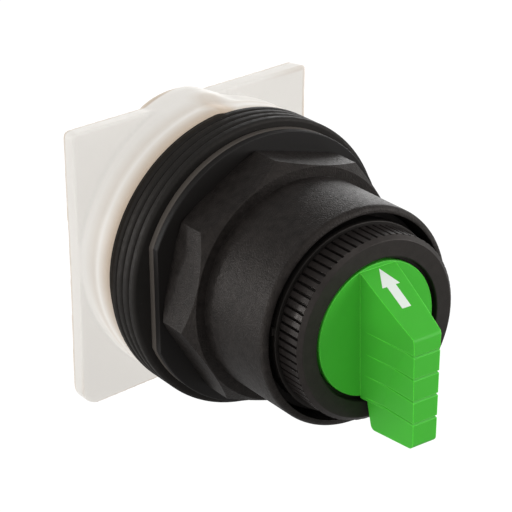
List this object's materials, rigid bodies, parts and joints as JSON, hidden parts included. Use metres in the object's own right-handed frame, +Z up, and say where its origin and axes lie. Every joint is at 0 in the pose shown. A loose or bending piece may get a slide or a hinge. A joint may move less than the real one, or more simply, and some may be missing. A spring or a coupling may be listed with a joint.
{
  "type": "rotary selector switch operator",
  "caption": "Panel-mounted rotary selector head with a finger lever, ring nut, gasket stack and square-flanged rear cup; a cam drives two push rods.",
  "frame": {"origin": "on the switch axis, in the plane of the front gasket's face where the panel's back rests", "axes": "+Z up with the pointer at 12 o'clock, the switch axis along Y and the front of the switch facing -Y"},
  "size_m": [0.0482, 0.0598, 0.0482],
  "materials": {
    "knob_green": "satin-gloss moulded plastic",
    "arrow_white": "matte",
    "black_plastic": "fine-grained moulded plastic",
    "black_satin": "satin moulded plastic",
    "gasket_rubber": "matte rubber",
    "washer_fibre": "matte",
    "milky_plastic": "milky translucent soft plastic",
    "seal_rubber": "matte rubber",
    "steel": "zinc-plated",
    "spring_steel": "bright",
    "acetal": "satin natural acetal",
    "brass": "machined"
  },
  "bodies": {
    "housing": {"bezel_ring": "black_plastic", "contact_inserts": "brass", "cover_screws": "steel", "detent_spring": "spring_steel", "gasket_1": "gasket_rubber", "gasket_2": "gasket_rubber", "gasket_3": "gasket_rubber", "gasket_4": "gasket_rubber", "index_ring": "black_satin", "knob_seal": "seal_rubber", "operator_body": "black_plastic", "plunger_spring_left": "spring_steel", "plunger_spring_right": "spring_steel", "rear_cover": "black_plastic", "rear_cup": "milky_plastic", "ring_nut": "black_plastic", "thrust_ring": "acetal", "trim_washer_front": "washer_fibre", "trim_washer_rear": "washer_fibre"},
    "rotor": {"knob": "knob_green", "pointer_arrow": "arrow_white", "drive_shaft": "steel", "detent_wheel": "acetal", "cam_rotor": "acetal", "shaft_clip": "spring_steel"},
    "left_plunger": {"plunger_left": "acetal"},
    "right_plunger": {"plunger_right": "acetal"}
  },
  "joints": [
    {"name": "knob_turn", "type": "hinge", "parent": "housing", "child": "rotor", "pos_m": [0, -0.016, 0], "axis": [0, 1, 0], "range_deg": [-45, 45], "deforming": ["detent_spring"]},
    {"name": "left_push", "type": "slide", "parent": "housing", "child": "left_plunger", "axis": [0, 1, 0], "range_m": [-0.002, 0.002], "deforming": ["plunger_spring_left"]},
    {"name": "right_push", "type": "slide", "parent": "housing", "child": "right_plunger", "axis": [0, 1, 0], "range_m": [-0.002, 0.002], "deforming": ["plunger_spring_right"]}
  ],
  "couplings": [
    {"joint": "left_push", "follows": "knob_turn", "m_per_rad": -0.0025465},
    {"joint": "right_push", "follows": "knob_turn", "m_per_rad": 0.0025465}
  ]
}
